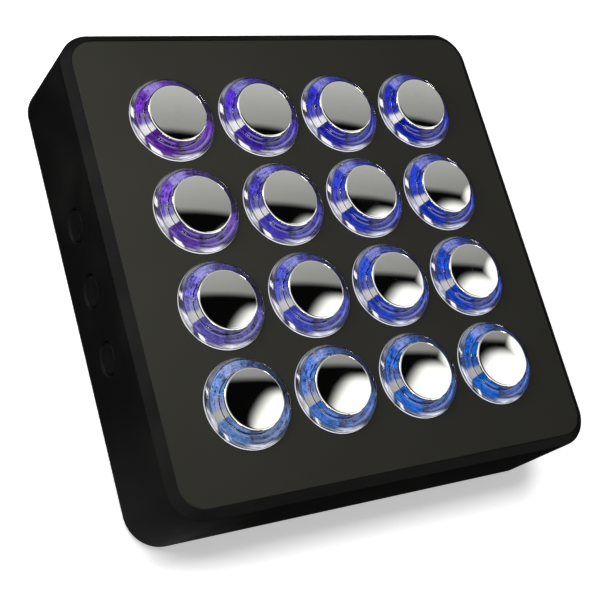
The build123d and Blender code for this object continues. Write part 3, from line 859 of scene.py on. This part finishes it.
def flank_painted_light():
    """Painted light on the slope: grey painted reflections in drawn-out streaks, painted shade at the far
    side, with the ring's colour near the top and painted reflections of two white lamps beside the gap. down
    runs from 0 at the slope's top to 1 at its foot."""
    mix = RingLight("flank_painted_light")
    down = (mix.radius - flank_top[0]) / (flank_foot[0] - flank_top[0])
    streaks = mix.streaks(down, stretch=2.2, scale=2.4)
    cloud = mix.ease(streaks, 0.32, 0.68)

    # The pattern leans away from the gap as it runs down the slope, and wanders a little.
    side = 1 - mix.ease(mix.turn, 190 / 360, 206 / 360) * 2
    lean = 15 / 360
    wander = 10 / 360
    mix.turn = mix.turn + (down - 0.5) * side * lean + (streaks - 0.5) * wander

    # Grey painted reflection, with a painted dark line low on the slope and a painted highlight along the
    # rim at its foot.
    level = mix.round_by(
        (0, 0.02), (85, 0.03), (104, 0.24), (140, 0.4), (148, 0.1), (168, 0.05), (178, 0.1), (184, 0.75),
        (205, 0.7), (209, 0.06), (215, 0.06), (240, 0.3), (256, 0.5), (262, 0.85), (284, 0.85), (296, 0.08),
        (345, 0.02),
    )
    rim = mix.round_by(
        (0, 0.04), (110, 0.2), (150, 0.45), (180, 0.65), (200, 0.65), (206, 0.35), (214, 0.5), (220, 0.8),
        (290, 0.75), (310, 0.25), (345, 0.04),
    )
    shaded = mix.ease(down, 0.0, 0.3)
    painted_dark_line = mix.ease(down, 0.66, 0.76)
    edge = mix.ease(down, 0.83, 0.9)
    # Painted shade: less grey towards the back left and left of the left-hand buttons' rings.
    far_left = mix.left.maths("POWER", 2.0) * mix.round_by((0, 0), (110, 0.28), (160, 0.28), (182, 0))
    grey = level * (0.35 + cloud * 1.1) * (0.35 + shaded * 0.75) * (1 - far_left)
    grey = grey * (1 - painted_dark_line * 0.65) * (1 - edge) + edge * rim * 1.4
    shine = mix.shine()
    tint = mix.blend(0.9 - mix.right * 0.1 + edge * 0.08, shine, plain_white)

    # The ring's own colour on the upper part of the slope.
    lit = mix.round_by(
        (0, 0), (100, 0.1), (125, 0.35), (168, 0.4), (174, 0.6), (182, 0.5), (186, 0), (206, 0), (210, 1.0),
        (250, 1.0), (256, 0.3), (318, 0.3), (330, 0.6), (345, 0),
    )
    lit = lit * (1 - mix.ease(down, 0.3, 0.62))
    colour = mix.blend(lit, dimmed(tint, grey), dimmed(shine, 0.15 + cloud * 0.5))

    # The painted reflections of two lamps, on the back and the front side of the gap. Their edges shift a
    # little on front buttons.
    degree = mix.turn * 360
    back_reflection = mix.ease(degree, 154.0, 157.0) * (1 - mix.ease(degree + mix.front * 9.0, 167.0, 170.0))
    front_reflection = mix.ease(degree - mix.front * 5.0, 213.0, 217.0)
    front_reflection = front_reflection * (1 - mix.ease(degree + mix.front * 8.0, 231.0, 235.0))
    painted_reflections = (back_reflection + front_reflection) * band(down, 0.18, 0.34, 0.72, 0.8)
    return mix.glow(mix.blend(painted_reflections, colour, reflection_white))


flank_grids = [round_button(flank_profile, ring_steps, spot) for spot in button_spots.values()]
flank = moulded("ring_flank", *flank_grids)
flank.data.materials.append(flank_painted_light())
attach(flank, "controller")

# Lights on the light board: small square packages, four round each button, facing its barrel.
# White plastic with a pale lens, tinted by their own light as that light changes across the face.
lens_white = (0.78, 0.78, 0.76, 1.0)
lens_grey = (0.66, 0.66, 0.62, 1.0)
front_blue = (0.02, 0.20, 0.75, 1.0)
back_violet = (0.12, 0.04, 0.70, 1.0)
package = Finish("light_package")
package_grain = package.noise(1500.0, detail=2.0)
towards_back = package.ease(package.axes(package.place())[1], grid_low.y, grid_high.y)
dress("ring_leds", package.surface(
    Base_Color=package.blend(package_grain, lens_white, lens_grey),
    Roughness=0.3 + package_grain * 0.1,
    Emission_Color=package.blend(towards_back, front_blue, back_violet),
    Emission_Strength=0.6,
))

# Plungers: the part that a finger presses, with a slightly domed cap and a bevelled rim.
# Moulded plastic, plated bright chrome all over. Its skirt, flange, post and nib run in the housing.
plunger_low, plunger_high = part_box("button_plunger_1")
cap_top = plunger_high.z - face_z
cap_dome = 0.36 * mm
cap_edge = cap_top - cap_dome
cap_radius = 9.5 * mm
cap_bevel_width = 0.45 * mm
cap_thickness = 1.5 * mm
skirt_bore = cap_radius - 1.2 * mm
flange_radius = barrel_bore - 0.3 * mm
flange_top = collar_bottom - 0.2 * mm
flange_bottom = flange_top - 1.3 * mm
post_radius = 2.2 * mm
nib_radius = 1.3 * mm
post_end = barrel_bottom + 2.9 * mm
nib_end = plunger_low.z - face_z
cap_steps = 192
dome_steps = 22
rim_round = 0.6 * mm
rim_blend = 0.4 * mm
rim_slope = 0.3 * mm
rim_depth = 0.65 * mm
rim_foot_round = 0.15 * mm
cap_side_round = 0.2 * mm
flange_round = 0.1 * mm
post_round = 0.1 * mm
nib_round = 0.2 * mm
chrome_bright = (0.90, 0.90, 0.89, 1.0)
chrome_hazed = (0.86, 0.86, 0.85, 1.0)
rim_radius = cap_radius - cap_bevel_width
dome_radius = (rim_radius ** 2 + cap_dome ** 2) / (2 * cap_dome)
dome_reach = np.linspace(0, rim_radius - rim_blend, dome_steps)
dome_rise = cap_top - dome_radius + np.sqrt(dome_radius ** 2 - dome_reach ** 2)
cap_profile = np.concatenate([
    np.stack([dome_reach, dome_rise], -1)[:-1],
    softened(
        [
            (dome_reach[-1], dome_rise[-1]),
            (rim_radius, cap_edge),
            (rim_radius + rim_slope, cap_edge - rim_slope),
            (cap_radius, cap_edge - rim_depth),
            (cap_radius, flange_top),
            (flange_radius, flange_top),
            (flange_radius, flange_bottom),
            (skirt_bore, flange_bottom),
            (skirt_bore, cap_edge - cap_thickness),
            (post_radius, cap_edge - cap_thickness),
            (post_radius, post_end),
            (nib_radius, post_end),
            (nib_radius, nib_end),
            (0, nib_end),
        ],
        [rim_round, rim_foot_round, cap_side_round, 0, flange_round, flange_round, 0, 0, 0,
         post_round, 0, nib_round],
    ),
])


def chrome():
    """Bright chrome on plastic: a clean mirror with the faintest waves and finger haze."""
    mix = Finish("mirror_chrome")
    haze = mix.ease(mix.noise(150.0, detail=4.0, rough=0.6), 0.5, 0.8)
    waves = mix.noise(240.0, detail=1.0)
    return mix.surface(
        Base_Color=mix.blend(haze, chrome_bright, chrome_hazed),
        Metallic=1.0,
        Roughness=0.025 + haze * 0.03,
        Normal=mix.bump(waves, strength=0.02, depth=0.02 * mm),
    )


chrome_finish = chrome()
for number, spot in button_spots.items():
    cap = moulded(f"button_cap_{number}", round_button(cap_profile, cap_steps, spot))
    cap.data.materials.append(chrome_finish)
    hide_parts(f"button_plunger_{number}")
    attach(cap, f"button_{number}")

# Side buttons: three round ones in each side wall, set just below the surface, with a dished face.
# Black moulded plastic, a little glossier than the case. Flange and stem sit inside the wall.
side_radius = 4.7 * mm
side_dish = 0.4 * mm
side_round = 0.4 * mm
side_flange_gap = 0.3 * mm
side_flange_round = 0.1 * mm
side_stem_round = 0.2 * mm
side_flange_top = -(case_wall + side_flange_gap)
side_flange_bottom = side_flange_top - 1.0 * mm
side_flange_radius = side_hole + 1.2 * mm
side_stem_radius = 1.7 * mm
side_stem_end = -(side_high.x - side_low.x) - side_set
side_steps = 72
dish_steps = 12
side_black = (0.0050, 0.0050, 0.0050, 1.0)
side_worn = (0.0075, 0.0075, 0.0075, 1.0)
dish_edge = side_radius - side_round
dish_blend = 0.1 * mm
dish_reach = np.linspace(0, dish_edge - dish_blend, dish_steps)
dish_height = -side_set - side_dish * (1 - (dish_reach / dish_edge) ** 2)
side_profile = np.concatenate([
    np.stack([dish_reach, dish_height], -1)[:-1],
    softened(
        [
            (dish_reach[-1], dish_height[-1]),
            (side_radius, -side_set),
            (side_radius, side_flange_top),
            (side_flange_radius, side_flange_top),
            (side_flange_radius, side_flange_bottom),
            (side_stem_radius, side_flange_bottom),
            (side_stem_radius, side_stem_end),
            (0, side_stem_end),
        ],
        [side_round, 0, side_flange_round, side_flange_round, 0, side_stem_round],
    ),
])
side_finish = moulded_plastic(
    "side_button_plastic", side_black, side_worn, gloss=0.34, grain=0.25, specular=0.06
)
for (side, number), spot in side_spots.items():
    name = f"side_button_{side_names[side]}_{number}"
    button = moulded(f"{name}_cap", tipped(turned(side_profile, side_steps), spot, (side, 0)))
    button.data.materials.append(side_finish)
    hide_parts(name)
    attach(button, f"side_{side_names[side]}_{number}")

# Studio: a pale floor, a white room, soft lamps from the left and above, and the panels that the
# mirror caps show: a grey one at the back, black cloth in front of it, and white ones at the right.
floor_size = 3.0
floor_bounce = (0.4, 0.4, 0.4, 1.0)
paper_white = (0.95, 0.95, 0.95, 1.0)
near_glow = 0.43
glow_from, glow_to = 0.25, 0.9
mirrored_glow = 0.015
patch_spot = (-0.10, -0.09)
patch_from, patch_to = 0.02, 0.07
patch_glow = 0.3


def lookers(mix):
    """Two values: 1 where the eye looks straight, and 1 where a mirror or clear plastic looks."""
    kinds = ("Camera", "Glossy", "Transmission")
    eye, mirror, clear = [mix.node("ShaderNodeLightPath", output=f"Is {kind} Ray") for kind in kinds]
    return eye, mirror.above(clear)


def studio_floor():
    """Paper, white to the eye, that keeps the object's shadow. It glows a little near the object and fully
    far away, where it meets the white room. Soft light bounces off it as off grey card, and mirrors see
    it nearly black but for a faint round patch beside the object's front left corner."""
    mix = Finish("studio_floor")
    seen, mirrored = lookers(mix)
    x, y = mix.axes(mix.place())[:2]
    away = mix.ease((x * x + y * y).maths("SQRT"), glow_from, glow_to)
    patch_x = x - patch_spot[0]
    patch_y = y - patch_spot[1]
    patch = 1 - mix.ease((patch_x * patch_x + patch_y * patch_y).maths("SQRT"), patch_from, patch_to)
    glow_level = near_glow + away * (1 - near_glow)
    mirrored_level = mirrored_glow + patch * patch_glow
    bounce = mix.node("ShaderNodeBsdfDiffuse", sockets={"Color": floor_bounce})
    paper = mix.node("ShaderNodeBsdfDiffuse", sockets={"Color": paper_white})
    glow = mix.node("ShaderNodeEmission", sockets={"Color": plain_white, "Strength": glow_level})
    dark = mix.node("ShaderNodeEmission", sockets={"Color": plain_white, "Strength": mirrored_level})
    lit_paper = mix.node("ShaderNodeAddShader", sockets={0: paper, 1: glow})
    shown = mix.node("ShaderNodeMixShader", sockets={0: seen, 1: bounce, 2: lit_paper})
    shown = mix.node("ShaderNodeMixShader", sockets={0: mirrored, 1: shown, 2: dark})
    mix.node("ShaderNodeOutputMaterial", sockets={"Surface": shown})
    return mix.owner


floor_edges = (-floor_size / 2, floor_size / 2)
floor_x, floor_y = np.meshgrid(floor_edges, floor_edges)
floor = moulded("studio_floor", np.stack([floor_x, floor_y, 0 * floor_x], -1))
floor.data.materials.append(studio_floor())

world = bpy.data.worlds.new("studio")
scene.world = world
world.cycles.sampling_method = "NONE"
room = Finish("studio", world)
x, y, z = room.axes(room.place("Generated"))
sideways = (1 - z * z).above(0.0001).maths("SQRT")
lowest_up = 0.03
right = x / z.above(lowest_up)
back = y / z.above(lowest_up)
panel_edge = 2


def towards(azimuth, spread):
    """1 where a direction's compass angle is within the spread of the azimuth, from +X towards +Y."""
    near = (x * cos(radians(azimuth)) + y * sin(radians(azimuth))) / sideways
    return room.ease(near, cos(radians(spread)), cos(radians(max(spread - panel_edge, 0))))


def between(value, low, high, soft):
    """1 between two limits, with soft edges."""
    return band(value, low - soft, low + soft, high - soft, high + soft)


# The panels overhead lie on a flat ceiling one unit up: right and back are where a direction meets it.
# white_flat is the blob with a bent, blurred left edge, and white_tall the strip to the right of it.
grey = room.ease(back, 0.319, 0.379) * room.ease(z, 0.1, 0.4)
grey_level = (0.33 + (back - 0.4) * 0.6 - (right - 0.5) * 0.11).above(0.22).below(0.56)
white_edge = 0.434 + back * 0.28 + back * back * 3.0
white_blur = 0.082 + back.above(0.0) * 0.52
white_flat = room.ease((right - white_edge) / white_blur + 0.5, 0.0, 1.0)
white_flat = white_flat * room.ease(0.309 - back, 0.0, 0.09) * room.ease(back, -0.24, -0.12)
white_tall = room.ease(right - (back - 0.3).above(0.0) * 0.5, 0.90, 1.03) * (1 - room.ease(right, 1.22, 1.3))
white_tall = white_tall * room.ease(right * 0.47 - 0.04 - back, 0.0, 0.09)
white = white_flat.above(white_tall) * band(z, 0.1, 0.3, 0.905, 0.925)
brightness = (grey * grey_level).above(white * 1.18).above(0.002)

# A tent stands round the front and the left, and a dim panel hangs straight above. Each low bright box
# has a compass angle, a spread, a lowest and a highest z, and a brightness.
tent = towards(226, 122) * between(z, 0.30, 0.76, 0.05)
overhead = between(z, 0.93, 2.0, 0.05) * (1 - towards(20, 75))
brightness = brightness.above(tent * 1.1).above(overhead * 0.1)
box_edge = 0.02
low_boxes = [
    (140, 10, 0.0, 0.42, 7.0),
    (232, 10, 0.0, 0.42, 7.0),
    (312, 16, 0.0, 0.3, 1.5),
    (36, 4, 0.02, 0.26, 9.0),
]
for azimuth, spread, low, high, power in low_boxes:
    box = towards(azimuth, spread) * between(z, low, high, box_edge)
    brightness = brightness.above(box * power)

panel_tint = (1.0, 1.0, 0.96)
soft_level = (0.15, 0.15, 0.15, 1.0)
seen, mirrored = lookers(room)
light = room.blend(mirrored, soft_level, dimmed(panel_tint, brightness))
light = room.blend(seen, light, plain_white)
backdrop = room.node("ShaderNodeBackground", sockets={"Color": light, "Strength": 1.0})
room.node("ShaderNodeOutputWorld", sockets={"Surface": backdrop})


def lamp(name, spot, aim, width, height, power):
    """A soft rectangular lamp that faces its aim. Mirrors don't show it, they show the room's panels."""
    made = bpy.data.lights.new(name, "AREA")
    made.shape = "RECTANGLE"
    made.size = width
    made.size_y = height
    made.energy = power
    holder = bpy.data.objects.new(name, made)
    scene.collection.objects.link(holder)
    holder.location = spot
    holder.rotation_mode = "QUATERNION"
    holder.rotation_quaternion = (Vector(aim) - Vector(spot)).to_track_quat("-Z", "Y")
    holder.visible_glossy = False
    holder.visible_transmission = False
    holder.visible_camera = False


lamp("lamp_left", spot=(-0.13, 0.03, 0.16), aim=(-0.04, 0.0, 0.037), width=0.16, height=0.2, power=0.5)
lamp("lamp_above", spot=(0.0, 0.12, 0.78), aim=(0.0, 0.0, 0.0), width=0.18, height=0.18, power=3.4)

camera_spot = Vector((-0.22145, -0.11589, 0.36572))
camera_aim = Vector((-0.01835, -0.01660, 0.0374))
camera_roll = radians(52.27)
camera_lens = 79.2
camera = bpy.data.objects.new("camera", bpy.data.cameras.new("camera"))
scene.collection.objects.link(camera)
camera.data.lens = camera_lens
camera.data.clip_start = 0.01
camera.location = camera_spot
camera.rotation_mode = "QUATERNION"
straight = (camera_aim - camera_spot).to_track_quat("-Z", "Y")
camera.rotation_quaternion = straight @ Quaternion((0, 0, 1), camera_roll)
scene.camera = camera
scene.view_settings.view_transform = "Standard"
